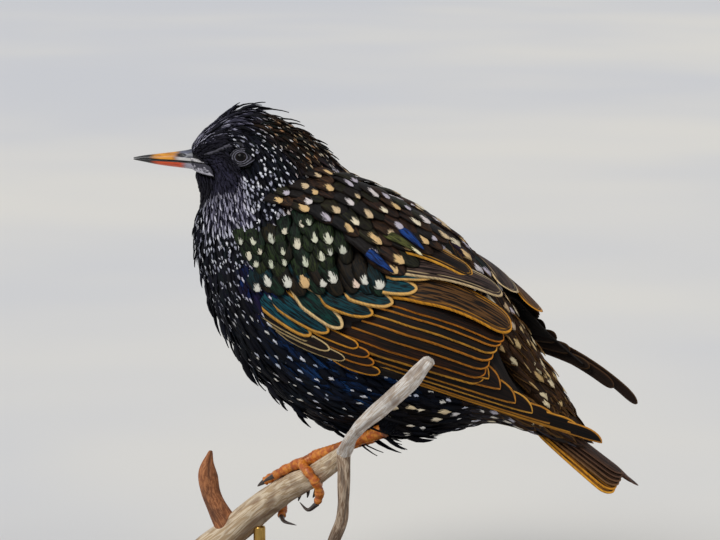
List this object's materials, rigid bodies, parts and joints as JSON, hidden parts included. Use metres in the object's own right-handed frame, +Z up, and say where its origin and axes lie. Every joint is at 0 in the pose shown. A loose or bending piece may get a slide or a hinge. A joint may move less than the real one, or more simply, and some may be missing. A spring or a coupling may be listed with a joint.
{
  "type": "starling",
  "caption": "Life-size still model of a common starling in spotted winter plumage, perched on a short branch held by a small round display stand.",
  "frame": {"origin": "centre of the underside of the round stand base", "axes": "+Z up; the bird's body points along -X and its left side faces -Y"},
  "size_m": [0.1674, 0.104, 0.1653],
  "materials": {
    "plumage": "glossy black feathers with small white and buff tips, green and violet sheen",
    "wing_feathers": "black-brown flight feathers with golden-buff edges, teal on the coverts",
    "bill": "horn, orange with a dark tip and a pale grey base",
    "eyes": "wet dark brown",
    "legs": "scaly orange-brown skin with dark claws",
    "bark": "weathered grey-brown bark, pale where it is worn",
    "base_wood": "dark waxed turned wood",
    "rods": "satin brass"
  },
  "bodies": {
    "root": {"torso": "plumage", "neck": "plumage", "head": "plumage", "thigh_left": "plumage", "thigh_right": "plumage", "wing_left": "wing_feathers", "wing_right": "wing_feathers", "tail": "wing_feathers", "bill_upper": "bill", "bill_lower": "bill", "eye_left": "eyes", "eye_right": "eyes", "shank_left": "legs", "shank_right": "legs", "foot_left": "legs", "foot_right": "legs", "perch_limb": "bark", "perch_twig": "bark", "perch_fork": "bark", "perch_stub": "bark", "stand_base": "base_wood", "stand_rod_front": "rods", "stand_rod_rear": "rods"}
  },
  "joints": []
}
